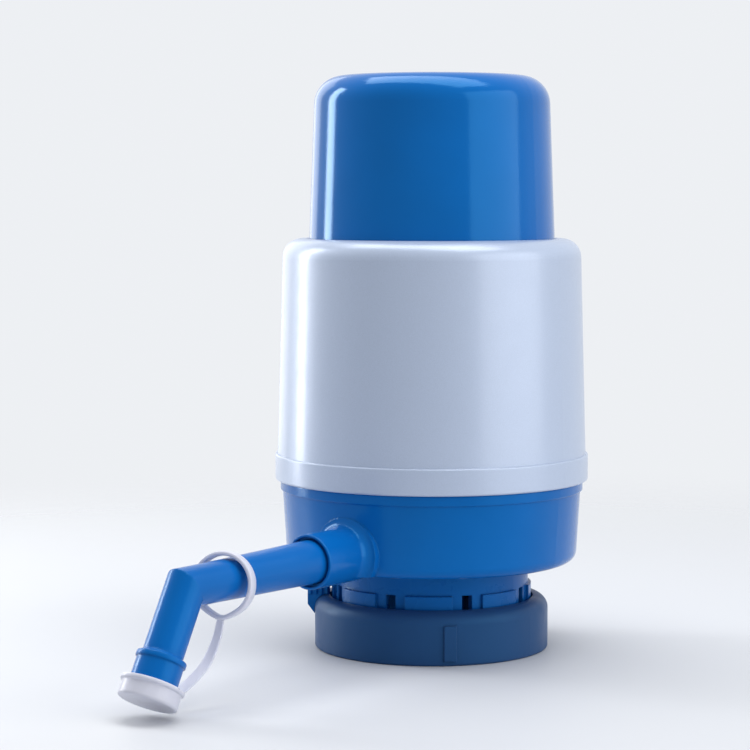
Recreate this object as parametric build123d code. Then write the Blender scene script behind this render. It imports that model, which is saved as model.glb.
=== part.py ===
"""Hand pump for a large water jug: a sprung press head over a barrel, a base with a swivelling
spout, and a slotted collar with a cam lock ring that grips the jug's neck.

The frame is the pump's own: Z is the pump axis, Z = 0 is the underside of the lock ring, and the
spout points along -Y. All lengths are millimetres and all angles are degrees.
"""

import os
from math import cos, radians, sin

from build123d import *

# ---- clearances ------------------------------------------------------------------------------
RUN = 0.35          # between round faces that move past each other
SLIP = 0.10         # radial running fit of seals, plugs and the spout in its socket
SEAT = 0.05         # between a screw, stem or insert and the hole that holds it
STOP_GAP = 0.2      # between flat faces that meet at a stop
CUT = 1.0           # how far a cutting tool runs past the face it opens
EDGE = 0.3          # round on the edges that show

# ---- jug neck and collar ---------------------------------------------------------------------
NECK_R = 28.0       # bore that goes over a 55 mm neck
NECK_SEAT_Z = 23.5  # height at which the mouth of the neck stops
COLLAR_WALL = 3.0
COLLAR_Z = 0.4      # lower end of the fingers
COLLAR_LEAD = 0.6   # chamfer that leads the neck in
FINGERS = 8
SLOT_WIDTH = 3.3
SLOT_END = 2.8      # from a slot's end up to the neck's seat
SLOT_TURN = 10.0    # first slot, measured from the spout
PAD_HALF = 13.5     # half the angle that a finger's pads cover
LIP_PROUD = 1.0     # pad above the ring's band, which stops the ring's rise
CAM_PAD_PROUD = 0.2 # pad that a cam presses on
HOOK_PROUD = 3.2    # hook on each finger tip that carries the ring
HOOK_HEIGHT = 2.0
STOP_ANGLE = 3.0    # stop that a cam's ramp meets at each end of the ring's turn
GASKET_THICK = 2.0
GASKET_GAP = 1.2    # from the neck's bore to the gasket
GASKET_WIDTH = 5.3
PLATE_THICK = 2.5   # collar's top plate, above the gasket
PLATE_LEDGE = 7.5   # width of the plate inside the gasket

# ---- lock ring -------------------------------------------------------------------------------
HOOK_GAP = 0.8      # from the fingers' hooks to the ring
RING_WALL = 2.4
RING_HEIGHT = 16.6
RING_ROUND = 4.0
RING_FOOT_ROUND = 0.8
RING_TOP = 2.2      # inward lip at the ring's top
BAND_HEIGHT = 7.6   # inward band that carries the cams
BAND_GAP = 0.6      # from the band to the fingers' pads
LOBE_HALF = 6.0     # half the flat of a cam
LOBE_RAMP = 4.0     # angle of the ramp on each side of it
LOBE_SINK = 0.8     # how far a cam's root reaches into the band
INDEX_TURN = 43.0   # raised index rib, measured from the spout
INDEX_WIDTH = 4.0
INDEX_PROUD = 0.7
INDEX_FOOT = 1.6    # from the ring's underside to the rib

# ---- thumb tab -------------------------------------------------------------------------------
TAB_TURN = -56.0    # measured from the spout
TAB_PROUD = 2.3     # beyond the ring
TAB_THICK = 4.4
TAB_NOTCH = 4.0     # depth of its notch in the ring's top
TAB_HOOK = 2.3      # tab's tip below the notch, outside the ring
TAB_SOLE = 3.1      # slope under it
TAB_ROUND = 1.0
TAB_GAP = 1.2       # between the tab and the bowl above it
TAB_RIBS = 4
TAB_RIB_R = 0.55

# ---- base ------------------------------------------------------------------------------------
BOWL_HEIGHT = 26.0  # from the collar to the shell's foot
BOWL_TAPER = 1.4    # loss of radius from the rim band to the bowl's foot
BOWL_STEP = 0.7     # rim band beyond the bowl
RIM_STEP = 0.9      # shell beyond the rim band
RIM_BAND = 3.2
BOWL_ROUND = 3.5
BOWL_WALL = 2.7
FLOOR = 3.0
FLOOR_ROUND = 2.0
SPIGOT_HEIGHT = 6.0
SPIGOT_WALL = 1.5
SNAP_FOOT = 2.2     # from the rim to the bead that the shell snaps over
SNAP_HEIGHT = 2.4
SNAP_PROUD = 0.6
LEDGE = 1.8         # inward ledge that the barrel's edge stands on
LEDGE_THICK = 2.0
SOCKET_R = 6.1      # socket for a 12 mm dip tube
SOCKET_DEPTH = 18.0
SOCKET_WALL = 2.9
SOCKET_GAP = 0.5    # socket mouth above the neck's seat
TOWER_WALL = 2.3
TOWER_GAP = 1.0     # between the tower and the barrel's floor
WELL_Y = 24.0       # outlet well, from the axis towards the spout
WELL_R = 6.9
WELL_WALL = 1.7
WELL_SUMP = 0.5     # well's floor below the duct

# ---- spout -----------------------------------------------------------------------------------
SPOUT_RISE = 6.9    # spout's axis above the bowl's underside
SPOUT_R = 6.7       # spout where it leaves the boss
SPOUT_TIP_R = 5.9
SPOUT_BORE_R = 3.9
SPOUT_LENGTH = 57.5 # from the boss to the elbow
ELBOW_STRAIGHT = 9.0
DROP_ANGLE = 60.8   # the outlet leg, below the horizontal
DROP = 32.5         # elbow to the end of the outlet sleeve
SLEEVE_STEP = 0.95  # sleeve beyond the leg
SLEEVE_LENGTH = 10.2
BEAD_PROUD = 0.45   # bead beyond the sleeve
BEAD = 1.5
BEAD_LEAD = 0.8     # cone above the bead
BOSS_LENGTH = 18.4  # from the bowl's side
BOSS_LIP = 0.8      # boss's wall at its mouth
BOSS_SINK = 4.0     # how far the boss starts inside the bowl's wall
BOSS_FLARE = 3.0    # round at the boss's root
FLARE_LEAD = 0.6    # straight part of the root before the round
MOUTH_GAP = 0.9     # shadow gap round the spout at the boss's mouth
MOUTH_DEPTH = 2.0
ROOT_STEP = 0.1     # spout's plug beyond the spout
ROOT_LENGTH = 20.0
DUCT_R = 4.8
DUCT_WALL = 1.5
SEAL_COUNT = 2
SEAL_FIRST = 4.0    # plug's end to the first O-ring
SEAL_PITCH = 6.0
SEAL_WIRE = 1.5
SEAL_SINK = 1.5     # depth of an O-ring's groove
SEAL_ROOM = 0.3     # groove's width beyond the wire

# ---- spout cap and its tether ----------------------------------------------------------------
CAP_IN = 4.0        # sleeve length inside the cap
CAP_HEIGHT = 5.8
CAP_WALL = 0.9
CAP_GROOVE = 0.2    # between the cap's wall and its grip ring
CAP_GRIP_WALL = 0.7
CAP_GRIP_DROP = 0.8 # grip ring below the cap's rim
CAP_RIM_PROUD = 0.7
CAP_FOOT_PROUD = 0.4
CAP_RIM = 1.0
CAP_END = 1.2
LOOP_BACK = 17.3    # from the elbow to the loop
LOOP_ROOM = 1.5     # loop's inside beyond the spout at its root
LOOP_REST = 0.9     # loop's inside above the spout
LOOP_THICK = 1.4
LOOP_WIDTH = 2.4
LOOP_TILT = 8.0
STRAP_WIDTH = 4.2
STRAP_THICK = 0.9
STRAP_SINK = 0.3    # strap's root in the loop
STRAP_GAP = 0.3     # strap's end to the cap's rim
STRAP_BENDS = ((3.2, -6.5), (6.6, -14.2))   # reach and height from the strap's root
STRAP_END_BEND = (-5.2, 0.6)                # the same from the strap's end
STRAP_BEND_R = 6.0

# ---- barrel and valves -----------------------------------------------------------------------
BORE_R = 42.0
BARREL_WALL = 2.4
BARREL_ROOM = 0.65  # from the barrel to the base's spigot
BARREL_RISE = 1.0   # barrel's underside above the bowl's rim
BARREL_FLOOR = 3.0
BARREL_ROUND = 1.0
PIPE_LENGTH = 8.0   # pipes and screw lugs below the floor
INLET_R = 5.2
PIPE_WALL = 2.4
PIPE_LEDGE = 0.6    # step that the inlet seal stands on
SEAL_THICK = 1.0
VALVE_HOLES = 6
VALVE_HOLE_R = 1.15
VALVE_HOLE_EDGE = 0.55  # from a water hole to the pipe's wall
VALVE_ROOM = 0.7    # valve's edge to the well's wall
VALVE_TOP_R = 2.4
VALVE_CROWN = 1.9
VALVE_EDGE = 0.6
STEM_R = 1.4
BARB_PROUD = 0.7
BARB_TIP_R = 0.8
BARB_LENGTH = 2.4
SPRING_SEAT_WALL = 1.4
SPRING_SEAT_HEIGHT = 3.0

# ---- screws ----------------------------------------------------------------------------------
SCREWS = 4          # in each set
SCREW_R = 1.5
HEAD_R = 2.8
HEAD_HEIGHT = 1.8
HEAD_ROUND = 0.7
DRIVE_WIDTH = 0.7   # cross recess
DRIVE_LENGTH = 2.6
DRIVE_DEPTH = 1.0
TIP_ROOM = 1.0      # hole past a screw's tip
HOLE_END = 1.0      # plastic past a blind hole
COLLAR_SCREW = 10.5 # length under the head
POST_WALL = 3.05    # round a barrel screw
POST_INSET = 2.8    # barrel screws' posts, in from the barrel's outside
BOSS_WALL = 1.75    # round the other screws
BOSS_JOIN = 0.1     # how far a piston screw's boss reaches into the cap's wall
HEAD_SINK = 5.0     # barrel screws' heads above the bowl's underside

# ---- shell -----------------------------------------------------------------------------------
SHELL_GAP = 0.1
SHELL_WALL = 2.3
SHELL_TAPER = 1.9   # loss of radius from the foot to the top
SHELL_LIP = 4.3     # shell's top above the guide bush
SHELL_ROUND = 6.0
SHELL_BEAD_PROUD = 0.75
SHELL_BEAD = 8.3
SHELL_FOOT_ROUND = 0.6
SHELL_EDGE_ROUND = 0.5
BUSH_THICK = 2.3

# ---- press head ------------------------------------------------------------------------------
STROKE = 40.0
STROKE_SPARE = 1.8  # left under the piston at the bottom of the stroke
CAP_SPARE = 11.3    # left of the press cap above the shell there
CAP_GAP = 3.0       # from the barrel's bore in to the cap, at the shell's top
CAP_TAPER = 1.95    # loss of radius from there to the cap's top
CAP_ROUND = 9.0
HEAD_WALL = 2.4
HEAD_TOP = 3.0
FLANGE = 3.0        # flange that meets the guide bush at the top of the stroke
SKIRT = 12.0        # from the flange to the piston
BOSS_HEIGHT = 12.0
PISTON = 6.0
PISTON_WEB = 3.0
PISTON_RIM = 11.0
GROOVE = 3.6
GROOVE_DEPTH = 3.1
LIP_WALL = 0.8      # of the cup seal
LIP_HEIGHT = 1.9
SEAL_DRAFT = 0.4

# ---- return spring ---------------------------------------------------------------------------
SPRING_R = 15.5
SPRING_WIRE_R = 0.85
SPRING_TURNS = 7
CUP_HEIGHT = 47.2   # piston's spring cup
CUP_WALL = 2.0
CUP_TOP = 2.4
CUP_ROUND = 1.5

# ---- sizes that follow: collar and lock ring -------------------------------------------------
PITCH = 360 / FINGERS
COLLAR_R = NECK_R + COLLAR_WALL
COLLAR_ROOT_R = NECK_R + COLLAR_WALL / 2
SLOT_TOP_Z = NECK_SEAT_Z - SLOT_END
PLATE_Z = NECK_SEAT_Z + GASKET_THICK
GASKET_OUT_R = NECK_R - GASKET_GAP
GASKET_IN_R = GASKET_OUT_R - GASKET_WIDTH
PLATE_HOLE_R = GASKET_IN_R - PLATE_LEDGE
LIP_R = COLLAR_R + LIP_PROUD
CAM_PAD_R = COLLAR_R + CAM_PAD_PROUD
HOOK_R = COLLAR_R + HOOK_PROUD
HOOK_Z = COLLAR_Z + HOOK_HEIGHT
LOBE_R = CAM_PAD_R + RUN
LOBE_END = LOBE_HALF + LOBE_RAMP
BAND_R = LIP_R + BAND_GAP
BAND_Z = HOOK_Z + RUN
BAND_TOP_Z = BAND_Z + BAND_HEIGHT
LIP_Z = BAND_TOP_Z + RUN
RING_IN_R = HOOK_R + HOOK_GAP
RING_R = RING_IN_R + RING_WALL
RING_TOP_Z = RING_HEIGHT - RING_TOP
TAB_Z = RING_HEIGHT - TAB_NOTCH

# ---- barrel, base and shell ------------------------------------------------------------------
BARREL_R = BORE_R + BARREL_WALL
SPIGOT_IN_R = BARREL_R + BARREL_ROOM
SPIGOT_R = SPIGOT_IN_R + SPIGOT_WALL
SHELL_IN_R = SPIGOT_R + RUN
SHELL_R = SHELL_IN_R + SHELL_WALL
SHELL_TOP_R = SHELL_R - SHELL_TAPER
SHELL_BEAD_R = SHELL_R + SHELL_BEAD_PROUD
RIM_R = SHELL_R - RIM_STEP
BOWL_R = RIM_R - BOWL_STEP
BOWL_FOOT_R = BOWL_R - BOWL_TAPER
LEDGE_R = SPIGOT_IN_R - LEDGE
BASE_Z = PLATE_Z + PLATE_THICK
FLOOR_Z = BASE_Z + FLOOR
RIM_Z = BASE_Z + BOWL_HEIGHT
RIM_FOOT_Z = RIM_Z - RIM_BAND
BOWL_DRAFT = BOWL_TAPER / (RIM_FOOT_Z - BASE_Z)
SPIGOT_Z = RIM_Z + SPIGOT_HEIGHT
SNAP_Z = RIM_Z + SNAP_FOOT
BARREL_Z = RIM_Z + BARREL_RISE
BARREL_FLOOR_Z = BARREL_Z + BARREL_FLOOR
LEDGE_Z = BARREL_Z - LEDGE_THICK
SOCKET_Z = NECK_SEAT_Z + SOCKET_GAP
FLOW_R = INLET_R - PIPE_LEDGE
FLOW_Z = SOCKET_Z + SOCKET_DEPTH
PIPE_Z = BARREL_Z - PIPE_LENGTH
PIPE_SEAT_Z = PIPE_Z - SEAL_THICK
INLET_PIPE_R = INLET_R + PIPE_WALL
OUTLET_PIPE_R = WELL_R + PIPE_WALL
TOWER_R = INLET_PIPE_R + SLIP + TOWER_WALL
WELL_OUT_R = OUTLET_PIPE_R + SLIP + WELL_WALL
TOWER_TOP_Z = BARREL_Z - TOWER_GAP
VALVE_RING_R = INLET_R - VALVE_HOLE_EDGE - VALVE_HOLE_R
VALVE_R = WELL_R - VALVE_ROOM
SPRING_SEAT_R = SPRING_R + SPRING_WIRE_R + RUN
SPRING_SEAT_OUT_R = SPRING_SEAT_R + SPRING_SEAT_WALL

# ---- press head, up from the bottom of its stroke --------------------------------------------
PISTON_Z = BARREL_FLOOR_Z + SPRING_SEAT_HEIGHT + STROKE_SPARE + STROKE
SKIRT_Z = PISTON_Z + PISTON
FLANGE_Z = SKIRT_Z + SKIRT
FLANGE_TOP_Z = FLANGE_Z + FLANGE
BARREL_TOP_Z = FLANGE_TOP_Z + STOP_GAP
BUSH_TOP_Z = BARREL_TOP_Z + BUSH_THICK
SHELL_Z = RIM_Z + SHELL_GAP
SHELL_LIP_Z = BUSH_TOP_Z + SHELL_GAP
SHELL_TOP_Z = SHELL_LIP_Z + SHELL_LIP
CAP_TOP_Z = SHELL_TOP_Z + STROKE + CAP_SPARE
CAP_LIP_R = BORE_R - CAP_GAP
CAP_TOP_R = CAP_LIP_R - CAP_TAPER
CAP_DRAFT = CAP_TAPER / (CAP_TOP_Z - SHELL_TOP_Z)
GUIDE_R = BORE_R - RUN
GROOVE_Z = PISTON_Z + (PISTON - GROOVE) / 2
GROOVE_R = GUIDE_R - GROOVE_DEPTH
CUP_IN_R = SPRING_SEAT_OUT_R + RUN
CUP_OUT_R = CUP_IN_R + CUP_WALL
CUP_TOP_Z = PISTON_Z + CUP_HEIGHT
CUP_CEILING_Z = CUP_TOP_Z - CUP_TOP


def bowl_radius(height):
    """Outside of the drafted bowl."""
    return BOWL_FOOT_R + BOWL_DRAFT * (height - BASE_Z)


def cap_radius(height):
    """Outside of the drafted press cap."""
    return CAP_LIP_R + CAP_DRAFT * (SHELL_TOP_Z - height)


# ---- screws' posts, lengths and circles ------------------------------------------------------
POST_R = SCREW_R + SEAT + POST_WALL
BOSS_SCREW_R = SCREW_R + SEAT + BOSS_WALL
COLLAR_SCREW_R = (PLATE_HOLE_R + GASKET_IN_R) / 2
BARREL_SCREW_R = BARREL_R - POST_INSET - POST_R
PISTON_SCREW_R = cap_radius(SKIRT_Z) - HEAD_WALL + BOSS_JOIN - BOSS_SCREW_R
BARREL_HEAD_Z = BASE_Z + HEAD_SINK
BARREL_SCREW = BARREL_Z - TIP_ROOM - BARREL_HEAD_Z
PISTON_SCREW = PISTON + BOSS_HEIGHT - HOLE_END - TIP_ROOM

# ---- spout, cap and tether -------------------------------------------------------------------
SPOUT_Z = BASE_Z + SPOUT_RISE
BOSS_R = SPOUT_R + MOUTH_GAP + BOSS_LIP
BOWL_CHORD = (BOWL_R**2 - BOSS_R**2) ** 0.5     # where the boss's side leaves the bowl
BOSS_REACH = BOWL_R + BOSS_LENGTH
PLUG_REACH = BOSS_REACH - ROOT_LENGTH
MOUTH_REACH = BOSS_REACH - MOUTH_DEPTH
ELBOW_REACH = BOSS_REACH + SPOUT_LENGTH
TAPER_REACH = ELBOW_REACH - ELBOW_STRAIGHT
ROOT_R = SPOUT_R + ROOT_STEP
SLEEVE_R = SPOUT_TIP_R + SLEEVE_STEP
BEAD_R = SLEEVE_R + BEAD_PROUD
CAP_GRIP_R = SLEEVE_R + SLIP
CAP_GRIP_OUT_R = CAP_GRIP_R + CAP_GRIP_WALL
CAP_WALL_R = CAP_GRIP_OUT_R + CAP_GROOVE
CAP_R = CAP_WALL_R + CAP_WALL
CAP_RIM_R = CAP_R + CAP_RIM_PROUD
CAP_FOOT_R = CAP_R + CAP_FOOT_PROUD
LOOP_REACH = ELBOW_REACH - LOOP_BACK
LOOP_IN_R = SPOUT_R + LOOP_ROOM
LOOP_R = LOOP_IN_R + LOOP_THICK

# Local frames: out along the spout, and down along its outlet leg.
SPOUT = Plane(origin=(0, 0, SPOUT_Z), x_dir=(1, 0, 0), z_dir=(0, -1, 0))
OUTLET = Plane(
    origin=(0, -ELBOW_REACH, SPOUT_Z),
    x_dir=(1, 0, 0),
    z_dir=(0, -cos(radians(DROP_ANGLE)), -sin(radians(DROP_ANGLE))),
)
WELL = Pos(0, -WELL_Y, 0)


def spout_radius(reach):
    """Outside of the tapered spout."""
    share = (reach - MOUTH_REACH) / (TAPER_REACH - MOUTH_REACH)
    return SPOUT_R + (SPOUT_TIP_R - SPOUT_R) * share


# ---- shapes used throughout ------------------------------------------------------------------
def section(*corners):
    """Face in the XZ plane from (radius, height) corners; a third number rounds that corner."""
    face = make_face(Polyline(*[corner[:2] for corner in corners], close=True))
    for corner in corners:
        if len(corner) == 3:
            vertex = face.vertices().sort_by_distance((corner[0], corner[1], 0))[0]
            face = fillet(vertex, corner[2])
    return Plane.XZ * face


def turned(*corners):
    """Solid of revolution about Z."""
    return revolve(section(*corners), Axis.Z)


def ring(inner, outer, low, high):
    """Plain tube about Z; an inner radius of 0 makes a disc."""
    return turned((inner, low), (outer, low), (outer, high), (inner, high))


def sector(inner, outer, low, high, start, end):
    """Part of a ring from one polar angle to another."""
    outline = section((inner, low), (outer, low), (outer, high), (inner, high))
    return Rot(0, 0, start) * revolve(outline, Axis.Z, revolution_arc=end - start)


def around(count, radius, first=0.0):
    """Places on a circle about Z, the first at a polar angle."""
    return [Rot(0, 0, first + 360 * index / count) * Pos(radius, 0, 0) for index in range(count)]


def polar(radius, angle):
    """Point of the XY plane at a polar angle."""
    return (radius * cos(radians(angle)), radius * sin(radians(angle)))


def finger_angles():
    """Polar angle of the middle of each finger, between two slots."""
    first_slot = -90 + SLOT_TURN
    return [first_slot + PITCH * (index + 0.5) for index in range(FINGERS)]


# ---- screws ----------------------------------------------------------------------------------
def screw_places(pitch_radius):
    """Where a set's screws stand, between the spout's direction and the sides."""
    return around(SCREWS, pitch_radius, 180 / SCREWS)


def posts(pitch_radius, radius, low, high):
    """One disc at each screw of a set: posts where they are added, holes where they are cut."""
    return [place * ring(0, radius, low, high) for place in screw_places(pitch_radius)]


def screw_holes(pitch_radius, low, high):
    """Holes that hold a set of screws."""
    return posts(pitch_radius, SCREW_R + SEAT, low, high)


def screw_set(pitch_radius, head_z, length):
    """Equal pan-head screws that point up, with their heads below head_z."""
    low = head_z - HEAD_HEIGHT
    head = turned((0, low), (HEAD_R, low, HEAD_ROUND), (HEAD_R, head_z), (0, head_z))
    bar = Box(DRIVE_LENGTH, DRIVE_WIDTH, 2 * DRIVE_DEPTH)
    drive = Pos(0, 0, low) * (bar + Rot(0, 0, 90) * bar)
    screw = head + ring(0, SCREW_R, head_z, head_z + length) - drive
    return [place * screw for place in screw_places(pitch_radius)]


# ---- collar and lock ring --------------------------------------------------------------------
def neck_collar():
    """Slotted collar that drops over the jug's neck, with its top plate."""
    recess_r = GASKET_OUT_R + SEAT
    collar = turned(
        (NECK_R + COLLAR_LEAD, COLLAR_Z), (COLLAR_R, COLLAR_Z), (COLLAR_R, BASE_Z), (PLATE_HOLE_R, BASE_Z),
        (PLATE_HOLE_R, PLATE_Z), (recess_r, PLATE_Z), (recess_r, NECK_SEAT_Z), (NECK_R, NECK_SEAT_Z),
        (NECK_R, COLLAR_Z + COLLAR_LEAD),
    )
    for middle in finger_angles():
        collar += finger_pads(middle)
    height = SLOT_TOP_Z - COLLAR_Z + CUT
    depth = HOOK_R - NECK_R + 2 * CUT
    slot = Pos((HOOK_R + NECK_R) / 2, 0, SLOT_TOP_Z - height / 2) * Box(depth, SLOT_WIDTH, height)
    collar -= [Rot(0, 0, middle - PITCH / 2) * slot for middle in finger_angles()]
    return collar - screw_holes(COLLAR_SCREW_R, PLATE_Z - CUT, BASE_Z + CUT)


def finger_pads(middle):
    """Lip, cam pad, hook and turn stop on the outside of one finger."""
    start, end = middle - PAD_HALF, middle + PAD_HALF
    stop = middle - LOBE_END
    return [
        sector(COLLAR_ROOT_R, HOOK_R, COLLAR_Z, HOOK_Z, start, end),
        sector(COLLAR_ROOT_R, CAM_PAD_R, HOOK_Z, LIP_Z, stop, end),
        sector(COLLAR_ROOT_R, LIP_R, HOOK_Z, LIP_Z, stop - STOP_ANGLE, stop),
        sector(COLLAR_ROOT_R, LIP_R, LIP_Z, SLOT_TOP_Z, start, end),
    ]


def neck_gasket():
    """Flat rubber ring that the mouth of the neck presses on."""
    return ring(GASKET_IN_R, GASKET_OUT_R, NECK_SEAT_Z, PLATE_Z)


def lock_ring():
    """Ring that turns on the collar and squeezes its fingers onto the neck."""
    body = turned(
        (RING_IN_R, 0), (RING_R, 0, RING_FOOT_ROUND), (RING_R, RING_HEIGHT, RING_ROUND),
        (BAND_R, RING_HEIGHT), (BAND_R, RING_TOP_Z), (RING_IN_R, RING_TOP_Z),
        (RING_IN_R, BAND_TOP_Z), (BAND_R, BAND_TOP_Z), (BAND_R, BAND_Z), (RING_IN_R, BAND_Z),
    )
    lobe = cam_lobe()
    body += [Rot(0, 0, middle - PITCH / 2) * lobe for middle in finger_angles()]
    body += Rot(0, 0, -90 + INDEX_TURN) * index_rib()
    depth = RING_R - BAND_R + 2 * CUT
    notch = Box(depth, TAB_THICK + 2 * SEAT, TAB_NOTCH + CUT)
    place = Rot(0, 0, -90 + TAB_TURN) * Pos((RING_R + BAND_R) / 2, 0, TAB_Z + (TAB_NOTCH + CUT) / 2)
    return body - place * notch


def cam_lobe():
    """One cam of the lock ring, about the +X direction."""
    root = BAND_R + LOBE_SINK
    outline = make_face([
        Line(polar(root, -LOBE_END), polar(LOBE_R, -LOBE_HALF)),
        ThreePointArc(polar(LOBE_R, -LOBE_HALF), polar(LOBE_R, 0), polar(LOBE_R, LOBE_HALF)),
        Line(polar(LOBE_R, LOBE_HALF), polar(root, LOBE_END)),
        ThreePointArc(polar(root, LOBE_END), polar(root, 0), polar(root, -LOBE_END)),
    ])
    return Pos(0, 0, BAND_Z) * extrude(outline, BAND_HEIGHT)


def index_rib():
    """Upright rib on the ring's outside, about the +X direction."""
    height = RING_HEIGHT - RING_ROUND - INDEX_FOOT
    rib = Pos(RING_R, 0, INDEX_FOOT + height / 2) * Box(2 * INDEX_PROUD, INDEX_WIDTH, height)
    outer_edges = rib.edges().filter_by(Axis.Z).group_by(Axis.X)[-1]
    return fillet(outer_edges, INDEX_PROUD / 2)


def thumb_tab():
    """Upright ribbed fin that stands in the ring's notch and hooks over its side."""
    top = BASE_Z - TAB_GAP
    outer = RING_R + TAB_PROUD
    outline = section(
        (BAND_R, TAB_Z), (RING_R + SEAT, TAB_Z), (RING_R + SEAT, TAB_Z - TAB_HOOK),
        (outer, TAB_Z - TAB_HOOK + TAB_SOLE), (outer, top, TAB_ROUND), (BAND_R, top, TAB_ROUND),
    )
    fin = extrude(outline, TAB_THICK / 2, both=True)
    rib = Pos(0, 0, RING_HEIGHT) * extrude(Circle(TAB_RIB_R), top - TAB_ROUND - RING_HEIGHT)
    spacing = (outer - BAND_R) / TAB_RIBS
    for side in (-1, 1):
        for index in range(TAB_RIBS):
            fin += Pos(BAND_R + spacing * (index + 0.5), side * TAB_THICK / 2, 0) * rib
    return Rot(0, 0, -90 + TAB_TURN) * fin


# ---- base ------------------------------------------------------------------------------------
def base_body():
    """Bowl with the dip tube's tower, the outlet well and the spout's boss."""
    root_z = FLOOR_Z - CUT
    base = bowl() + spout_boss()
    base += ring(0, TOWER_R, root_z, TOWER_TOP_Z)
    base += ring(0, SOCKET_R + SOCKET_WALL, SOCKET_Z, FLOOR_Z)
    base += WELL * ring(0, WELL_OUT_R, root_z, TOWER_TOP_Z)
    base += SPOUT * ring(0, DUCT_R + DUCT_WALL, WELL_Y, PLUG_REACH)
    base += posts(BARREL_SCREW_R, POST_R, root_z, PIPE_Z)
    collar_boss_z = PLATE_Z + COLLAR_SCREW + TIP_ROOM + HOLE_END
    base += posts(COLLAR_SCREW_R, BOSS_SCREW_R, root_z, collar_boss_z)
    base -= water_ways()
    base -= posts(BARREL_SCREW_R, HEAD_R + RUN, BASE_Z - CUT, BARREL_HEAD_Z)
    base -= screw_holes(BARREL_SCREW_R, BASE_Z, PIPE_Z + CUT)
    return base - screw_holes(COLLAR_SCREW_R, BASE_Z - CUT, collar_boss_z - HOLE_END)


def bowl():
    """Open bowl with the rim band, the shell's spigot and the barrel's ledge."""
    wall_z = LEDGE_Z - LEDGE
    bead_r = SPIGOT_R + SNAP_PROUD
    return turned(
        (0, BASE_Z), (BOWL_FOOT_R, BASE_Z, BOWL_ROUND), (BOWL_R, RIM_FOOT_Z), (RIM_R, RIM_FOOT_Z, EDGE),
        (RIM_R, RIM_Z, EDGE), (SPIGOT_R, RIM_Z), (SPIGOT_R, SNAP_Z), (bead_r, SNAP_Z + SNAP_PROUD),
        (SPIGOT_R, SNAP_Z + SNAP_HEIGHT), (SPIGOT_R, SPIGOT_Z), (SPIGOT_IN_R, SPIGOT_Z),
        (SPIGOT_IN_R, BARREL_Z), (LEDGE_R, BARREL_Z), (LEDGE_R, LEDGE_Z),
        (bowl_radius(wall_z) - BOWL_WALL, wall_z), (bowl_radius(FLOOR_Z) - BOWL_WALL, FLOOR_Z, FLOOR_ROUND),
        (0, FLOOR_Z),
    )


def spout_boss():
    """Round boss that runs out through the bowl's wall, flared at its root."""
    root = BOWL_R - BOSS_SINK
    boss = SPOUT * turned((0, root), (BOSS_R, root), (BOSS_R, BOSS_REACH, EDGE), (0, BOSS_REACH))
    big = BOSS_R + BOSS_FLARE
    low = BOWL_CHORD - BOSS_SINK / 2
    high = BOWL_CHORD + FLARE_LEAD + BOSS_FLARE
    hollow = Plane.XZ * Pos(big, high) * Circle(BOSS_FLARE)
    flare = SPOUT * revolve(section((0, low), (big, low), (big, high), (0, high)) - hollow, Axis.Z)
    band = ring(0, high + CUT, BASE_Z + FLARE_LEAD, RIM_FOOT_Z)
    return boss + (flare & band)


def water_ways():
    """What is cut from the base: dip tube's socket, tower, outlet well, duct and spout's seat."""
    return [
        ring(0, SOCKET_R, SOCKET_Z - CUT, FLOW_Z),
        ring(0, FLOW_R, FLOW_Z - CUT, TOWER_TOP_Z),
        ring(0, INLET_PIPE_R + SLIP, PIPE_SEAT_Z, TOWER_TOP_Z + CUT),
        WELL * ring(0, WELL_R, SPOUT_Z - DUCT_R - WELL_SUMP, TOWER_TOP_Z),
        WELL * ring(0, OUTLET_PIPE_R + SLIP, PIPE_SEAT_Z, TOWER_TOP_Z + CUT),
        SPOUT * ring(0, DUCT_R, WELL_Y, BOSS_REACH),
        SPOUT * ring(0, ROOT_R + SLIP, PLUG_REACH, BOSS_REACH),
        SPOUT * ring(0, SPOUT_R + MOUTH_GAP, MOUTH_REACH, BOSS_REACH + CUT),
    ]


# ---- barrel and valves -----------------------------------------------------------------------
def barrel():
    """Pump barrel with its floor, the two valve seats and the pipes below them."""
    body = turned(
        (0, BARREL_Z), (BARREL_R, BARREL_Z), (BARREL_R, BARREL_TOP_Z), (BORE_R, BARREL_TOP_Z),
        (BORE_R, BARREL_FLOOR_Z, BARREL_ROUND), (0, BARREL_FLOOR_Z),
    )
    body += ring(INLET_R, INLET_PIPE_R, PIPE_Z, BARREL_Z)
    body += WELL * ring(WELL_R, OUTLET_PIPE_R, PIPE_Z, BARREL_Z)
    body += ring(SPRING_SEAT_R, SPRING_SEAT_OUT_R, BARREL_FLOOR_Z, BARREL_FLOOR_Z + SPRING_SEAT_HEIGHT)
    body += posts(BARREL_SCREW_R, POST_R, PIPE_Z, BARREL_Z)
    body -= screw_holes(BARREL_SCREW_R, PIPE_Z - CUT, BARREL_HEAD_Z + BARREL_SCREW + TIP_ROOM)
    valve_seat = valve_holes()
    return body - valve_seat - [WELL * hole for hole in valve_seat]


def valve_holes():
    """Stem hole and ring of water holes through the barrel's floor, about Z."""
    low, high = BARREL_Z - CUT, BARREL_FLOOR_Z + CUT
    water_hole = ring(0, VALVE_HOLE_R, low, high)
    water_holes = [place * water_hole for place in around(VALVE_HOLES, VALVE_RING_R, 180 / VALVE_HOLES)]
    return [ring(0, STEM_R + SEAT, low, high)] + water_holes


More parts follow.
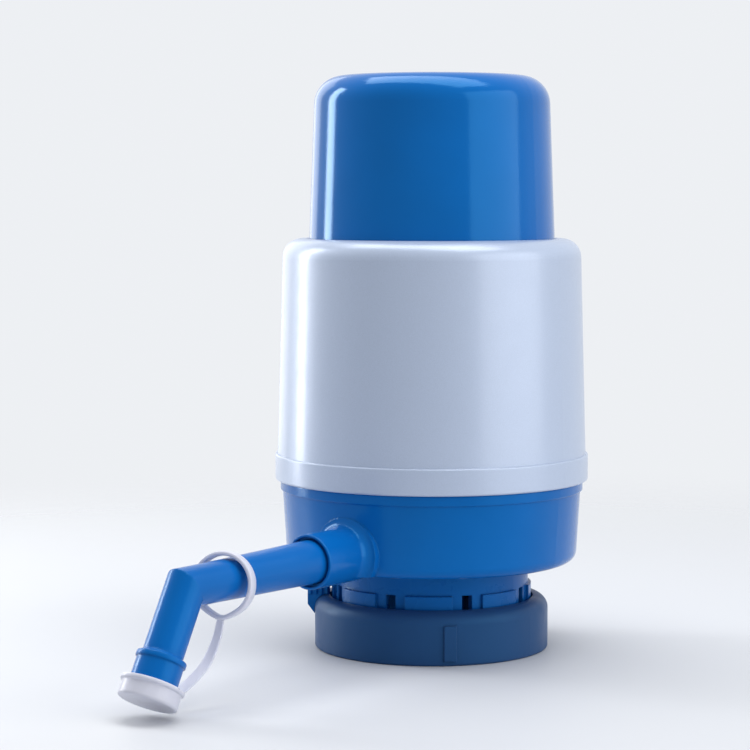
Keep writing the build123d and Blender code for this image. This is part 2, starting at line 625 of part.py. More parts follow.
def umbrella_valve():
    """Rubber umbrella valve standing on a seat at Z = 0, its barbed stem through the seat."""
    tip = -BARREL_FLOOR - BARB_LENGTH
    barb_r = STEM_R + BARB_PROUD
    return turned(
        (0, VALVE_CROWN), (VALVE_TOP_R, VALVE_CROWN), (VALVE_R, VALVE_EDGE), (VALVE_R, 0), (STEM_R, 0),
        (STEM_R, -BARREL_FLOOR), (barb_r, -BARREL_FLOOR), (BARB_TIP_R, tip), (0, tip),
    )


def inlet_valve():
    """Opens up into the barrel as the head rises."""
    return Pos(0, 0, BARREL_FLOOR_Z) * umbrella_valve()


def outlet_valve():
    """Opens down into the outlet well as the head is pressed."""
    return WELL * Pos(0, 0, BARREL_Z) * Rot(180, 0, 0) * umbrella_valve()


def inlet_seal():
    """Flat ring under the inlet pipe."""
    return ring(INLET_R, INLET_PIPE_R, PIPE_SEAT_Z, PIPE_Z)


def outlet_seal():
    """Flat ring under the outlet pipe."""
    return WELL * ring(WELL_R, OUTLET_PIPE_R, PIPE_SEAT_Z, PIPE_Z)


# ---- shell and press head --------------------------------------------------------------------
def guide_bush():
    """Slippery ring on the barrel's top edge that guides the cap and stops its rise."""
    return ring(cap_radius(BARREL_TOP_Z) + RUN, BARREL_R, BARREL_TOP_Z, BUSH_TOP_Z)


def housing_shell():
    """Outer shell with a beaded foot, a rounded shoulder and the groove that snaps on the base."""
    bead_top = SHELL_Z + SHELL_BEAD
    groove_r = SHELL_IN_R + SNAP_PROUD
    lip_r = cap_radius(SHELL_LIP_Z) + RUN
    return turned(
        (SHELL_IN_R, SHELL_Z), (SHELL_BEAD_R, SHELL_Z, SHELL_FOOT_ROUND),
        (SHELL_BEAD_R, bead_top, SHELL_EDGE_ROUND), (SHELL_R, bead_top),
        (SHELL_TOP_R, SHELL_TOP_Z, SHELL_ROUND), (lip_r, SHELL_TOP_Z, SHELL_EDGE_ROUND),
        (lip_r, SHELL_LIP_Z), (SHELL_TOP_R - SHELL_WALL, SHELL_LIP_Z), (SHELL_IN_R, SPIGOT_Z),
        (SHELL_IN_R, SNAP_Z + SNAP_HEIGHT + SHELL_GAP), (groove_r, SNAP_Z + SNAP_PROUD),
        (SHELL_IN_R, SNAP_Z - SHELL_GAP),
    )


def press_cap():
    """Cap that the palm pushes: a drafted cup with a flange and a skirt that carries the piston."""
    ceiling = CAP_TOP_Z - HEAD_TOP
    cap = turned(
        (0, ceiling), (CAP_TOP_R - HEAD_WALL, ceiling, CAP_ROUND - HEAD_WALL),
        (cap_radius(SKIRT_Z) - HEAD_WALL, SKIRT_Z), (cap_radius(SKIRT_Z), SKIRT_Z),
        (cap_radius(FLANGE_Z), FLANGE_Z), (GUIDE_R, FLANGE_Z), (GUIDE_R, FLANGE_TOP_Z),
        (cap_radius(FLANGE_TOP_Z), FLANGE_TOP_Z), (CAP_TOP_R, CAP_TOP_Z, CAP_ROUND), (0, CAP_TOP_Z),
    )
    cap += posts(PISTON_SCREW_R, BOSS_SCREW_R, SKIRT_Z, SKIRT_Z + BOSS_HEIGHT)
    return cap - screw_holes(PISTON_SCREW_R, SKIRT_Z - CUT, PISTON_Z + PISTON_SCREW + TIP_ROOM)


def piston_head():
    """Piston plate with the seal's groove and the tall cup that the spring pushes on."""
    web_z = SKIRT_Z - PISTON_WEB
    rim_in_r = GUIDE_R - PISTON_RIM
    head = turned(
        (CUP_IN_R, PISTON_Z), (CUP_OUT_R, PISTON_Z), (CUP_OUT_R, web_z), (rim_in_r, web_z),
        (rim_in_r, PISTON_Z), (GUIDE_R, PISTON_Z), (GUIDE_R, GROOVE_Z), (GROOVE_R, GROOVE_Z),
        (GROOVE_R, GROOVE_Z + GROOVE), (GUIDE_R, GROOVE_Z + GROOVE), (GUIDE_R, SKIRT_Z), (CUP_OUT_R, SKIRT_Z),
        (CUP_OUT_R, CUP_TOP_Z, CUP_ROUND), (0, CUP_TOP_Z), (0, CUP_CEILING_Z), (CUP_IN_R, CUP_CEILING_Z),
    )
    return head - screw_holes(PISTON_SCREW_R, PISTON_Z - CUT, SKIRT_Z + CUT)


def piston_seal():
    """Rubber cup seal, its lips pointing down at the water."""
    inner, outer = GROOVE_R + SEAT, BORE_R - SLIP
    low, high = GROOVE_Z + SEAT, GROOVE_Z + GROOVE - SEAT
    web = low + LIP_HEIGHT
    return turned(
        (inner, low), (inner + LIP_WALL, low), (inner + LIP_WALL, web), (outer - LIP_WALL - SEAL_DRAFT, web),
        (outer - LIP_WALL, low), (outer, low), (outer - SEAL_DRAFT, high), (inner, high),
    )


def return_spring():
    """Compression spring between the barrel's floor and the piston's cup."""
    end = SPRING_WIRE_R + SEAT
    height = CUP_CEILING_Z - BARREL_FLOOR_Z - 2 * end
    path = Helix(pitch=height / SPRING_TURNS, height=height, radius=SPRING_R)
    wire = Plane(origin=path @ 0, z_dir=path % 0) * Circle(SPRING_WIRE_R)
    return Pos(0, 0, BARREL_FLOOR_Z + end) * sweep(wire, path=path, is_frenet=True)


# ---- spout -----------------------------------------------------------------------------------
def bent(radius, start, end):
    """Round bar along the spout and its outlet leg, mitred at the elbow."""
    path = Polyline(
        SPOUT.from_local_coords((0, 0, start)), OUTLET.origin, OUTLET.from_local_coords((0, 0, end)),
    )
    outline = Plane(origin=path @ 0, z_dir=(0, -1, 0)) * Circle(radius)
    return sweep(outline, path=path, transition=Transition.RIGHT)


def spout_tube():
    """Plug, tapered tube, mitred elbow and outlet leg with its bead and sleeve."""
    bead_z = DROP - SLEEVE_LENGTH - BEAD
    tube = SPOUT * turned(
        (0, PLUG_REACH), (ROOT_R, PLUG_REACH), (ROOT_R, MOUTH_REACH), (SPOUT_R, MOUTH_REACH),
        (SPOUT_TIP_R, TAPER_REACH), (0, TAPER_REACH),
    )
    tube += bent(SPOUT_TIP_R, TAPER_REACH - CUT, DROP)
    tube += OUTLET * turned(
        (0, bead_z - BEAD_LEAD), (SPOUT_TIP_R, bead_z - BEAD_LEAD), (BEAD_R, bead_z, EDGE),
        (BEAD_R, bead_z + BEAD, EDGE), (SLEEVE_R, bead_z + BEAD), (SLEEVE_R, DROP), (0, DROP),
    )
    tube -= bent(SPOUT_BORE_R, PLUG_REACH - CUT, DROP + CUT)
    half = (SEAL_WIRE + SEAL_ROOM) / 2
    for reach in seal_reaches():
        tube -= SPOUT * ring(ROOT_R - SEAL_SINK, ROOT_R + CUT, reach - half, reach + half)
    return tube


def seal_reaches():
    """How far out each O-ring lies on the spout's plug."""
    return [PLUG_REACH + SEAL_FIRST + SEAL_PITCH * index for index in range(SEAL_COUNT)]


def spout_seals():
    """O-rings in the plug's grooves."""
    wire_r = SEAL_WIRE / 2
    centre = ROOT_R - SEAL_SINK + SEAT + wire_r
    return [SPOUT * Pos(0, 0, reach) * Torus(centre, wire_r) for reach in seal_reaches()]


# ---- spout cap and tether --------------------------------------------------------------------
def spout_cap():
    """Short double-walled cap that grips the outlet sleeve."""
    rim = DROP - CAP_IN
    end = rim + CAP_HEIGHT
    floor = end - CAP_END
    grip_top = rim + CAP_GRIP_DROP
    return OUTLET * turned(
        (0, floor), (CAP_GRIP_R, floor), (CAP_GRIP_R, grip_top), (CAP_GRIP_OUT_R, grip_top),
        (CAP_GRIP_OUT_R, floor), (CAP_WALL_R, floor), (CAP_WALL_R, rim), (CAP_RIM_R, rim, EDGE),
        (CAP_RIM_R, rim + CAP_RIM, EDGE), (CAP_R, rim + CAP_RIM), (CAP_R, end - CAP_RIM),
        (CAP_FOOT_R, end - CAP_RIM, EDGE), (CAP_FOOT_R, end, EDGE), (0, end),
    )


def cap_tether():
    """Loose loop round the spout and the strap that ties it to the cap's rim."""
    loop_z = SPOUT_Z + spout_radius(LOOP_REACH) + LOOP_REST - LOOP_IN_R
    loop = Plane(origin=(0, -LOOP_REACH, loop_z), x_dir=(1, 0, 0), z_dir=(0, -1, 0)) * Rot(-LOOP_TILT, 0, 0)
    body = loop * ring(LOOP_IN_R, LOOP_R, -LOOP_WIDTH / 2, LOOP_WIDTH / 2)
    tilt = radians(LOOP_TILT)
    start = (LOOP_REACH + LOOP_R * sin(tilt), loop_z - LOOP_R * cos(tilt) + STRAP_SINK)
    rim = OUTLET.from_local_coords((0, -CAP_RIM_R - STRAP_GAP, DROP - CAP_IN + CAP_RIM / 2))
    finish = (-rim.Y, rim.Z)
    bends = [(start[0] + reach, start[1] + height) for reach, height in STRAP_BENDS]
    last = (finish[0] + STRAP_END_BEND[0], finish[1] + STRAP_END_BEND[1])
    route = FilletPolyline(start, *bends, last, finish, radius=STRAP_BEND_R)
    side = Plane(origin=(0, 0, 0), x_dir=(0, -1, 0), z_dir=(-1, 0, 0))
    return body + side * extrude(trace(route, STRAP_THICK), STRAP_WIDTH / 2, both=True)


# ---- write every node ------------------------------------------------------------------------
def build():
    """Every node of the assembly, by name."""
    return {
        "neck_collar": neck_collar(),
        "neck_gasket": neck_gasket(),
        "collar_screws": screw_set(COLLAR_SCREW_R, PLATE_Z, COLLAR_SCREW),
        "lock_ring": lock_ring(),
        "thumb_tab": thumb_tab(),
        "base_body": base_body(),
        "barrel": barrel(),
        "barrel_screws": screw_set(BARREL_SCREW_R, BARREL_HEAD_Z, BARREL_SCREW),
        "inlet_seal": inlet_seal(),
        "outlet_seal": outlet_seal(),
        "inlet_valve": inlet_valve(),
        "outlet_valve": outlet_valve(),
        "guide_bush": guide_bush(),
        "housing_shell": housing_shell(),
        "press_cap": press_cap(),
        "piston_head": piston_head(),
        "piston_seal": piston_seal(),
        "piston_screws": screw_set(PISTON_SCREW_R, PISTON_Z, PISTON_SCREW),
        "return_spring": return_spring(),
        "spout_tube": spout_tube(),
        "spout_seals": spout_seals(),
        "spout_cap": spout_cap(),
        "cap_tether": cap_tether(),
    }


def main():
    os.makedirs("parts", exist_ok=True)
    for name, shape in build().items():
        pieces = shape if isinstance(shape, list) else [shape]
        node = Compound(children=[solid for piece in pieces for solid in piece.solids()])
        export_step(node, f"parts/{name}.step")


main()
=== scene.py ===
"""Studio scene for the jug pump: materials, soft cap and tether, return spring, light, floor and camera."""

from math import cos, exp, pi, radians, sin

import bmesh
import bpy
from mathutils import Matrix, Vector

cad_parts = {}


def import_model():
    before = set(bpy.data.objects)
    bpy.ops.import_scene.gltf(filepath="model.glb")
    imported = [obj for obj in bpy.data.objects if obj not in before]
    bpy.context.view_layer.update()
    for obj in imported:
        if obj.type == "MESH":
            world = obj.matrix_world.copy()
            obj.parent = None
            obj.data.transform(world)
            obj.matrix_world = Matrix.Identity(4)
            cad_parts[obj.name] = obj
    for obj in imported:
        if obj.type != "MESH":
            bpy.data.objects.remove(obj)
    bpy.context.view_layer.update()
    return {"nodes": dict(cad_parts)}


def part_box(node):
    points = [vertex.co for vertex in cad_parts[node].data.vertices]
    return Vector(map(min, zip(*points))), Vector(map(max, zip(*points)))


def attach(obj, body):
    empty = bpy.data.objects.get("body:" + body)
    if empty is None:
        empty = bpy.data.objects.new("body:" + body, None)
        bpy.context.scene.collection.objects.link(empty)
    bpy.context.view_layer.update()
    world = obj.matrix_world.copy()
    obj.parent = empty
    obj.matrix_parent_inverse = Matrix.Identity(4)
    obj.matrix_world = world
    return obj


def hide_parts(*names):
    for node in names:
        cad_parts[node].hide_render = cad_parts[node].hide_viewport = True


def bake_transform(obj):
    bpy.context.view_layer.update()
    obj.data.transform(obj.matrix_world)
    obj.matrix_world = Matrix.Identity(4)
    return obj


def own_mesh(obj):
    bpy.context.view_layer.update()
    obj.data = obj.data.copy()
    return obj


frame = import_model()

# ---- camera, measured from the photograph ----------------------------------------------------
CAMERA_TURN = 34.0      # degrees round the pump axis, from the spout's side towards +X
CAMERA_DISTANCE = 0.7837
CAMERA_HEIGHT = 0.1474
CAMERA_TARGET = Vector((0.0, -0.0313, 0.0890))
CAMERA_LENS = 118.0

# ---- colours, linear --------------------------------------------------------------------------
BLUE = (0.002, 0.116, 0.420)
# the body blue darkened: painted shade for the collar, which lies in the bowl's shadow
BLUE_PAINTED_SHADE = (0.004, 0.092, 0.340)
NAVY = (0.018, 0.060, 0.165)
GLOSS = (0.150, 0.600, 1.000)       # tint of the light that the blue parts reflect
SILVER = (0.430, 0.505, 0.650)
CLEAR = (0.770, 0.780, 0.880)
WHITE = (0.780, 0.790, 0.800)
RUBBER = (0.030, 0.032, 0.036)
SILICONE = (0.620, 0.640, 0.670)
STEEL = (0.560, 0.570, 0.580)
FLOOR = (0.600, 0.615, 0.645)
BACKDROP = (0.850, 0.870, 0.900)


# ---- objects and shader nodes -----------------------------------------------------------------
def linked(name, data):
    """New object in the scene."""
    obj = bpy.data.objects.new(name, data)
    bpy.context.collection.objects.link(obj)
    return obj


def shader(name):
    """New material with its node tree and its Principled shader."""
    material = bpy.data.materials.new(name)
    material.use_nodes = True
    tree = material.node_tree
    return material, tree, tree.nodes["Principled BSDF"]


def map_range(tree, value, start, end, low=0.0, high=1.0, shape="LINEAR"):
    """Value that goes from low to high while the given one goes from start to end."""
    remap = tree.nodes.new("ShaderNodeMapRange")
    remap.interpolation_type = shape
    remap.inputs["From Min"].default_value = start
    remap.inputs["From Max"].default_value = end
    remap.inputs["To Min"].default_value = low
    remap.inputs["To Max"].default_value = high
    tree.links.new(value, remap.inputs["Value"])
    return remap.outputs["Result"]


def maths(tree, operation, first, second):
    """Result of an operation on two values."""
    node = tree.nodes.new("ShaderNodeMath")
    node.operation = operation
    tree.links.new(first, node.inputs[0])
    tree.links.new(second, node.inputs[1])
    return node.outputs[0]


# ---- materials --------------------------------------------------------------------------------
NOISE_LOW, NOISE_HIGH = 0.3, 0.7    # most of a noise texture's values lie between these
DRIFT_SCALE = 35                    # slow changes of colour, in cells per metre
SMUDGE_SCALE = 120                  # changes of gloss
GLOSS_CHANGE = 0.15                 # share that the roughness changes by
BEVEL_SAMPLES = 4


def noise(tree, scale, detail=2.0):
    """Noise over the object's own coordinates, in cells per metre."""
    place = tree.nodes.new("ShaderNodeTexCoord")
    texture = tree.nodes.new("ShaderNodeTexNoise")
    texture.inputs["Scale"].default_value = scale
    texture.inputs["Detail"].default_value = detail
    tree.links.new(place.outputs["Object"], texture.inputs["Vector"])
    return texture.outputs["Fac"]


def tint(tree, target, colour, value, change):
    """Colour that drifts a little lighter and darker with a noise value."""
    ramp = tree.nodes.new("ShaderNodeValToRGB")
    dark, light = ramp.color_ramp.elements
    dark.position = NOISE_LOW
    dark.color = [channel * (1 - change) for channel in colour] + [1]
    light.position = NOISE_HIGH
    light.color = [min(channel * (1 + change), 1) for channel in colour] + [1]
    tree.links.new(value, ramp.inputs["Fac"])
    tree.links.new(ramp.outputs["Color"], target)


def uneven(tree, target, value, low, high):
    """Roughness that changes with a noise value."""
    tree.links.new(map_range(tree, value, NOISE_LOW, NOISE_HIGH, low, high), target)


def bump(tree, target, value, depth, normal=None):
    """Fine relief of a depth in metres."""
    node = tree.nodes.new("ShaderNodeBump")
    node.inputs["Distance"].default_value = depth
    tree.links.new(value, node.inputs["Height"])
    if normal:
        tree.links.new(normal, node.inputs["Normal"])
    tree.links.new(node.outputs["Normal"], target)


def soft_edges(tree, radius):
    """Normal that rounds sharp edges by a radius."""
    node = tree.nodes.new("ShaderNodeBevel")
    node.samples = BEVEL_SAMPLES
    node.inputs["Radius"].default_value = radius
    return node.outputs["Normal"]


def plastic(name, colour, roughness, drift=0.05, grain=1500, depth=0.00001, edge=0.0003):
    """Moulded plastic: slow colour drift, uneven gloss, fine surface grain and soft edges."""
    material, tree, principled = shader(name)
    tint(tree, principled.inputs["Base Color"], colour, noise(tree, DRIFT_SCALE), drift)
    low, high = roughness * (1 - GLOSS_CHANGE), roughness * (1 + GLOSS_CHANGE)
    uneven(tree, principled.inputs["Roughness"], noise(tree, SMUDGE_SCALE, 4), low, high)
    rounding = soft_edges(tree, edge) if edge else None
    bump(tree, principled.inputs["Normal"], noise(tree, grain, 3), depth, rounding)
    return material, principled


def glossy(name, colour, roughness=0.22, level=0.35, edge=0.0006):
    """Polished blue plastic with soft moulded edges and blue gloss."""
    material, principled = plastic(name, colour, roughness, edge=edge)
    principled.inputs["Specular IOR Level"].default_value = level
    principled.inputs["Specular Tint"].default_value = (*GLOSS, 1)
    return material


def satin(name, colour, roughness, gloss=(1, 1, 1)):
    """Plastic with a spark-eroded grain."""
    material, principled = plastic(name, colour, roughness, grain=2600, depth=0.00003)
    principled.inputs["Specular IOR Level"].default_value = 0.25
    principled.inputs["Specular Tint"].default_value = (*gloss, 1)
    return material


def pearl(name, colour):
    """Silver paint: fine flakes that catch the light under a satin skin."""
    material, tree, principled = shader(name)
    tint(tree, principled.inputs["Base Color"], colour, noise(tree, 6000, 1), 0.06)
    principled.inputs["Metallic"].default_value = 0.15
    uneven(tree, principled.inputs["Roughness"], noise(tree, 150, 4), 0.33, 0.39)
    bump(tree, principled.inputs["Normal"], noise(tree, 5000, 2), 0.000006, soft_edges(tree, 0.0003))
    principled.inputs["Coat Weight"].default_value = 0.30
    principled.inputs["Coat Roughness"].default_value = 0.15
    return material


def translucent(name, colour):
    """Milky flexible plastic, for pieces whose edges are round already."""
    material, principled = plastic(name, colour, 0.32, drift=0.02, depth=0.000004, edge=0)
    principled.inputs["Transmission Weight"].default_value = 0.25
    principled.inputs["IOR"].default_value = 1.4
    return material


def rubber(name, colour):
    """Matt elastomer."""
    material, principled = plastic(name, colour, 0.6, drift=0.12, grain=3000, depth=0.00004)
    principled.inputs["Specular IOR Level"].default_value = 0.35
    return material


def steel(name, colour):
    """Drawn stainless steel."""
    material, tree, principled = shader(name)
    tint(tree, principled.inputs["Base Color"], colour, noise(tree, 400, 3), 0.08)
    principled.inputs["Metallic"].default_value = 1.0
    uneven(tree, principled.inputs["Roughness"], noise(tree, 900, 3), 0.22, 0.34)
    return material


def paint(material, *nodes):
    """Gives CAD nodes a material."""
    for name in nodes:
        slots = frame["nodes"][name].data.materials
        slots.clear()
        slots.append(material)


paint(glossy("press_blue", BLUE, 0.12, 0.5), "press_cap")
paint(glossy("body_blue", BLUE, 0.18, 0.5), "base_body", "thumb_tab")
paint(glossy("spout_blue", BLUE, edge=0.0009), "spout_tube")
# the collar's darker blue is painted shade, standing in for the shadow that the bowl casts on it
paint(glossy("collar_blue_painted_shade", BLUE_PAINTED_SHADE, 0.28), "neck_collar")
paint(satin("ring_navy", NAVY, 0.42, GLOSS), "lock_ring")
paint(pearl("shell_silver", SILVER), "housing_shell")
paint(satin("inner_white", WHITE, 0.35), "barrel", "guide_bush", "piston_head")
paint(rubber("seal_black", RUBBER), "neck_gasket", "inlet_seal", "outlet_seal", "spout_seals", "piston_seal")
paint(rubber("valve_silicone", SILICONE), "inlet_valve", "outlet_valve")
bright_steel = steel("bright_steel", STEEL)
paint(bright_steel, "collar_screws", "barrel_screws", "piston_screws")
clear = translucent("clear_soft", CLEAR)


# ---- solids of revolution and tubes -----------------------------------------------------------
def softened(outline, steps=5):
    """Outline with its corners rounded."""
    places = [Vector((radius, along)) for radius, along, rounding in outline]
    line = [places[0]]
    for before, (corner, after), (_, _, rounding) in zip(places, zip(places[1:], places[2:]), outline[1:]):
        start = corner + (before - corner).normalized() * rounding
        end = corner + (after - corner).normalized() * rounding
        for step in range(steps + 1):
            share = step / steps
            line.append(start * (1 - share) ** 2 + corner * 2 * share * (1 - share) + end * share**2)
    line.append(places[-1])
    return line


def finished(name, form):
    """Smooth object of a mesh under construction, with its faces outwards."""
    bmesh.ops.recalc_face_normals(form, faces=form.faces)
    for face in form.faces:
        face.smooth = True
    mesh = bpy.data.meshes.new(name)
    form.to_mesh(mesh)
    form.free()
    return linked(name, mesh)


def lathe(name, outline, origin, axis, count=96):
    """Solid of revolution round an axis, from an outline that starts and ends on it."""
    place = Matrix.Translation(origin) @ axis.to_track_quat("Z", "Y").to_matrix().to_4x4()
    form = bmesh.new()
    line = [form.verts.new(place @ Vector((radius, 0, along))) for radius, along in softened(outline)]
    edges = [form.edges.new(pair) for pair in zip(line, line[1:])]
    bmesh.ops.spin(
        form, geom=line + edges, cent=origin, axis=axis, angle=2 * pi, steps=count, use_merge=True)
    bmesh.ops.remove_doubles(form, verts=form.verts, dist=1e-6)
    return finished(name, form)


def tube(name, rings, closed):
    """Solid through rings of points, joined end to end or closed by end faces."""
    form = bmesh.new()
    verts = [[form.verts.new(point) for point in ring] for ring in rings]
    count = len(verts[0])
    for start, end in zip(verts, verts[1:] + (verts[:1] if closed else [])):
        for index in range(count):
            after = (index + 1) % count
            form.faces.new((start[index], start[after], end[after], end[index]))
    if not closed:
        form.faces.new(verts[0][::-1])
        form.faces.new(verts[-1])
    return finished(name, form)


def joined(name, first, second):
    """One solid made of two."""
    union = first.modifiers.new("union", "BOOLEAN")
    union.operation = "UNION"
    union.solver = "EXACT"
    union.object = second
    evaluated = first.evaluated_get(bpy.context.evaluated_depsgraph_get())
    mesh = bpy.data.meshes.new_from_object(evaluated)
    bpy.data.objects.remove(first)
    bpy.data.objects.remove(second)
    return linked(name, mesh)


# ---- spout cap ---------------------------------------------------------------------------------
ELBOW = Vector((0, -0.1235, 0.0349))
DROP_ANGLE = radians(60.8)
CAP_MOUTH = 0.0285      # along the leg from the elbow
CAP_PROFILE = (         # radius, distance along the leg from the mouth, and rounding
    (0.0000, 0.0046, 0), (0.0074, 0.0046, 0.0005), (0.0074, 0.0012, 0.0002), (0.0070, 0.0008, 0.0002),
    (0.0070, 0.0003, 0.0001), (0.0073, 0.0000, 0.0001), (0.0093, 0.0000, 0.0005), (0.0093, 0.0011, 0.0004),
    (0.0086, 0.0014, 0.0003), (0.0087, 0.0058, 0.0009), (0.0000, 0.0058, 0),
)

leg = Vector((0, -cos(DROP_ANGLE), -sin(DROP_ANGLE)))
cap = lathe("cap", CAP_PROFILE, ELBOW + leg * CAP_MOUTH, leg)
cap.data.materials.append(clear)
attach(cap, "spout_cap")
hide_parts("spout_cap")


# ---- cap tether --------------------------------------------------------------------------------
LOOP_CENTRE = Vector((0, -0.1062, 0.03363))
LOOP_TILT = radians(8)
LOOP_SWING = radians(14)                    # how far it hangs turned towards +X
LOOP_R = 0.0089         # middle of the band
LOOP_PULL = 0.0006      # how far the strap pulls the loop's bottom down
LOOP_PULL_SPAN = 0.3    # angle over which it does so, in radians
LOOP_HALF = (0.0007, 0.0019)                # half its thickness and width
STRAP_ROUTE = (                             # reach and height, from the loop to the cap's rim
    (0.1075, 0.0243), (0.1095, 0.0186), (0.1140, 0.0124), (0.1203, 0.0084), (0.1260, 0.0062),
    (0.1300, 0.0050),
)
STRAP_HALF = (0.00045, 0.0012, 0.0027)      # half its thickness, width at the loop and at the cap


def rounded(half_a, half_b, count=20, power=4):
    """Rounded rectangle as offsets along two directions."""
    angles = [2 * pi * index / count for index in range(count)]
    bend = 2 / power

    def along(value):
        return abs(value) ** bend * (1 if value >= 0 else -1)

    return [(half_a * along(cos(angle)), half_b * along(sin(angle))) for angle in angles]


def loop_rings(count=96):
    """Cross-sections of the loop, which the strap pulls to a soft point at its bottom."""
    swing = Matrix.Rotation(LOOP_SWING, 3, "Z")
    side = swing @ Vector((1, 0, 0))
    up = swing @ Vector((0, sin(LOOP_TILT), cos(LOOP_TILT)))
    axis = side.cross(up)
    rings = []
    for index in range(count):
        angle = 2 * pi * index / count
        radius = LOOP_R + LOOP_PULL * exp(-((angle - pi) / LOOP_PULL_SPAN) ** 2)
        out = side * sin(angle) + up * cos(angle)
        rings.append([LOOP_CENTRE + out * (radius + a) + axis * b for a, b in rounded(*LOOP_HALF)])
    return rings


def on_curve(before, start, end, after, share):
    """Point of a smooth curve through start and end."""
    pull_in = (end - before) / 2
    pull_out = (after - start) / 2
    square, cube = share**2, share**3
    return (start * (2 * cube - 3 * square + 1) + pull_in * (cube - 2 * square + share)
            + end * (3 * square - 2 * cube) + pull_out * (cube - square))


def strap_point(place):
    """Point of the strap's route."""
    reach, height = place
    return Vector((0, -reach, height))


def strap_rings(steps=12):
    """Cross-sections of the strap along a smooth curve through its route."""
    points = [strap_point(place) for place in STRAP_ROUTE]
    ends = [2 * points[0] - points[1], *points, 2 * points[-1] - points[-2]]
    line = []
    for before, start, end, after in zip(ends, ends[1:], ends[2:], ends[3:]):
        for step in range(steps):
            line.append(on_curve(before, start, end, after, step / steps))
    line.append(points[-1])
    half, narrow, wide = STRAP_HALF
    side = Vector((1, 0, 0))
    rings = []
    for index, point in enumerate(line):
        along = line[min(index + 1, len(line) - 1)] - line[max(index - 1, 0)]
        out = side.cross(along).normalized()
        width = narrow + (wide - narrow) * index / (len(line) - 1)
        rings.append([point + out * a + side * b for a, b in rounded(half, width)])
    return rings


tether = joined("tether", tube("loop", loop_rings(), True), tube("strap", strap_rings(), False))
tether.data.materials.clear()
tether.data.materials.append(clear)
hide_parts("cap_tether")
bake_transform(tether)


# ---- return spring -----------------------------------------------------------------------------
SPRING_WIRE_R = 0.00085
SPRING_TURNS = 7


def spring_rings(low, high, steps=40, sides=12):
    """Cross-sections of the wire along the coil that fills a box."""
    coil_r = high.x - SPRING_WIRE_R
    bottom, top = low.z + SPRING_WIRE_R, high.z - SPRING_WIRE_R
    count = SPRING_TURNS * steps
    rise = (top - bottom) / (2 * pi * SPRING_TURNS)
    places = [2 * pi * side / sides for side in range(sides)]
    rings = []
    for index in range(count + 1):
        angle = 2 * pi * index / steps
        out = Vector((cos(angle), sin(angle), 0))
        along = Vector((-sin(angle) * coil_r, cos(angle) * coil_r, rise)).normalized()
        across = along.cross(out)
        middle = out * coil_r + Vector((0, 0, bottom + (top - bottom) * index / count))
        rings.append([middle + (out * cos(place) + across * sin(place)) * SPRING_WIRE_R for place in places])
    return rings


spring_low, spring_high = [Vector(corner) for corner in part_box("return_spring")]
spring = tube("spring", spring_rings(spring_low, spring_high), False)
spring.data.materials.append(bright_steel)
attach(spring, "housing")
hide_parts("return_spring")
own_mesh(spring)


# ---- light, floor and camera ------------------------------------------------------------------
PUMP_MIDDLE = Vector((0, 0, 0.09))
WORLD_LIGHT = 0.50      # strength of the light all round; the camera sees it at full strength
FLOOR_R = 1.2
FADE_START, FADE_END = 0.13, 0.50           # where the floor fades out into the background
OPENING_R = 0.035       # where the floor lets light through, a little less than the lock ring
OPENING_EDGE = 0.001
OPENING_LIGHT = 0.3     # share of the light that it lets through there


def from_camera(turn, distance, height):
    """Point at a turn round the pump axis from the camera's side; positive goes to the right."""
    angle = radians(CAMERA_TURN + turn)
    return Vector((distance * sin(angle), -distance * cos(angle), height))


def aim(obj, target):
    """Points a lamp or camera at a place."""
    obj.rotation_euler = (target - obj.location).to_track_quat("-Z", "Y").to_euler()


def softbox(name, turn, distance, height, width, tall, watts):
    """Rectangular lamp that faces the middle of the pump."""
    lamp = bpy.data.lights.new(name, "AREA")
    lamp.shape = "RECTANGLE"
    lamp.size = width
    lamp.size_y = tall
    lamp.energy = watts
    obj = linked(name, lamp)
    obj.location = from_camera(turn, distance, height)
    aim(obj, PUMP_MIDDLE)


def world():
    """Soft pale light all round, at full strength for the camera and in reflections."""
    scene_world = bpy.data.worlds.new("studio")
    bpy.context.scene.world = scene_world
    scene_world.use_nodes = True
    tree = scene_world.node_tree
    back = tree.nodes["Background"]
    back.inputs["Color"].default_value = (*BACKDROP, 1)
    rays = tree.nodes.new("ShaderNodeLightPath")
    seen = rays.outputs["Is Camera Ray"]
    for name in ("Is Glossy Ray", "Is Transmission Ray"):
        seen = maths(tree, "MAXIMUM", seen, rays.outputs[name])
    tree.links.new(map_range(tree, seen, 0, 1, WORLD_LIGHT, 1), back.inputs["Strength"])


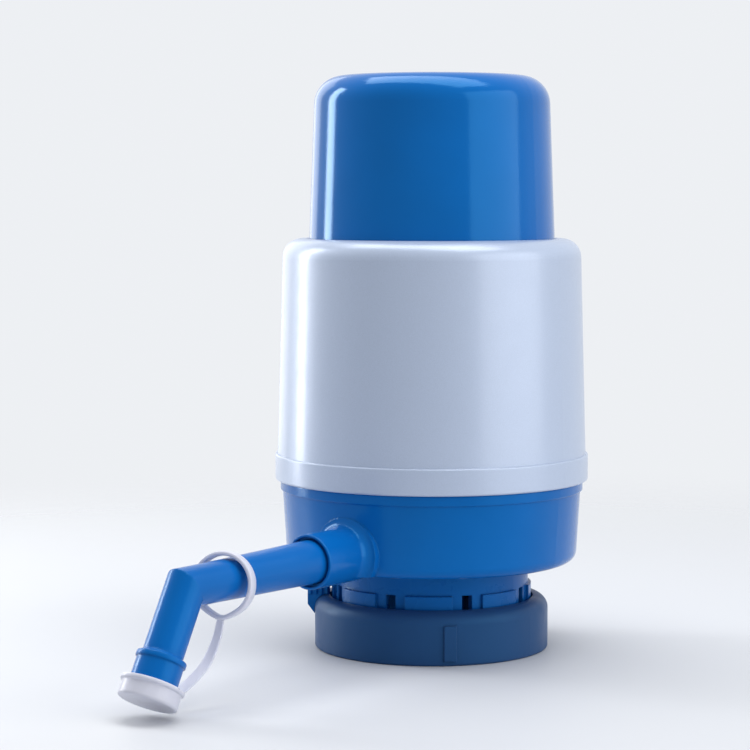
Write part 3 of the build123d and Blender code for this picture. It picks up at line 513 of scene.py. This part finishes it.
def floor_material():
    """Pale floor that fades out into the background and is clear from below. Under the lock ring it lets
    some light up to the collar, but the camera doesn't see through it there."""
    material, tree, principled = shader("floor_pale")
    principled.inputs["Base Color"].default_value = (*FLOOR, 1)
    principled.inputs["Roughness"].default_value = 0.55
    place = tree.nodes.new("ShaderNodeTexCoord")
    length = tree.nodes.new("ShaderNodeVectorMath")
    length.operation = "LENGTH"
    tree.links.new(place.outputs["Object"], length.inputs[0])
    away = length.outputs["Value"]
    side = tree.nodes.new("ShaderNodeNewGeometry")
    rays = tree.nodes.new("ShaderNodeLightPath")
    opening = map_range(tree, away, OPENING_R, OPENING_R + OPENING_EDGE, OPENING_LIGHT, 0)
    unseen = maths(tree, "SUBTRACT", opening, rays.outputs["Is Camera Ray"])
    see_through = map_range(tree, away, FADE_START, FADE_END, shape="SMOOTHSTEP")
    for reason in (side.outputs["Backfacing"], unseen):
        see_through = maths(tree, "MAXIMUM", see_through, reason)
    clear_node = tree.nodes.new("ShaderNodeBsdfTransparent")
    mix = tree.nodes.new("ShaderNodeMixShader")
    tree.links.new(see_through, mix.inputs[0])
    tree.links.new(principled.outputs[0], mix.inputs[1])
    tree.links.new(clear_node.outputs[0], mix.inputs[2])
    tree.links.new(mix.outputs[0], tree.nodes["Material Output"].inputs["Surface"])
    return material


def floor():
    """Disc under the pump that keeps its shadow."""
    mesh = bpy.data.meshes.new("floor")
    disc = bmesh.new()
    bmesh.ops.create_circle(disc, cap_ends=True, segments=96, radius=FLOOR_R)
    disc.to_mesh(mesh)
    disc.free()
    obj = linked("floor", mesh)
    mesh.materials.append(floor_material())


def camera():
    """Camera at the photograph's viewing angle, closer in."""
    data = bpy.data.cameras.new("camera")
    data.lens = CAMERA_LENS
    data.clip_start = 0.01
    obj = linked("camera", data)
    obj.location = from_camera(0, CAMERA_DISTANCE, CAMERA_HEIGHT)
    aim(obj, CAMERA_TARGET)
    bpy.context.scene.camera = obj


world()
floor()
softbox("rim_left", turn=-150, distance=0.9, height=0.30, width=0.45, tall=0.7, watts=1.2)
softbox("strip_left", turn=-112, distance=0.8, height=0.30, width=0.17, tall=0.7, watts=3.8)
softbox("broad_right", turn=62, distance=0.9, height=0.35, width=0.95, tall=0.8, watts=4.8)
softbox("top", turn=0, distance=0.0, height=0.85, width=1.00, tall=0.45, watts=6.2)
camera()
bpy.context.scene.view_settings.view_transform = "Standard"
